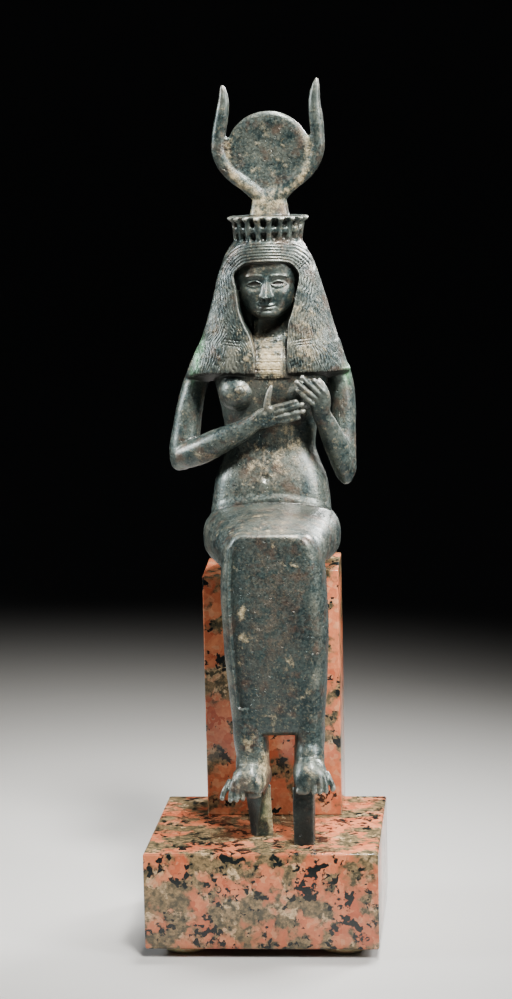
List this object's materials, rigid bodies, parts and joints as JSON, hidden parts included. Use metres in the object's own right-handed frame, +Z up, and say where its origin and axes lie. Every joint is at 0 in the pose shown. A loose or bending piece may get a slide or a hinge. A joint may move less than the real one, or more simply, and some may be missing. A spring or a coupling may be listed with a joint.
{
  "type": "isis figure",
  "caption": "Seated bronze figure of Isis with horned sun disc crown and striated wig, on a polished granite base and seat block.",
  "frame": {"origin": "on the ground under the middle of the plinth", "axes": "+Z up, the figure faces -Y, +X to the right in the picture"},
  "size_m": [0.075, 0.075, 0.2782],
  "materials": {
    "bronze": "dark blue-green patina with tan crusts",
    "granite": "polished",
    "pad": "satin"
  },
  "bodies": {
    "root": {"pad_front_left": "pad", "pad_front_right": "pad", "pad_back_left": "pad", "pad_back_right": "pad", "plinth_base": "granite", "plinth_seat": "granite", "isis_figure": "bronze"}
  },
  "joints": []
}
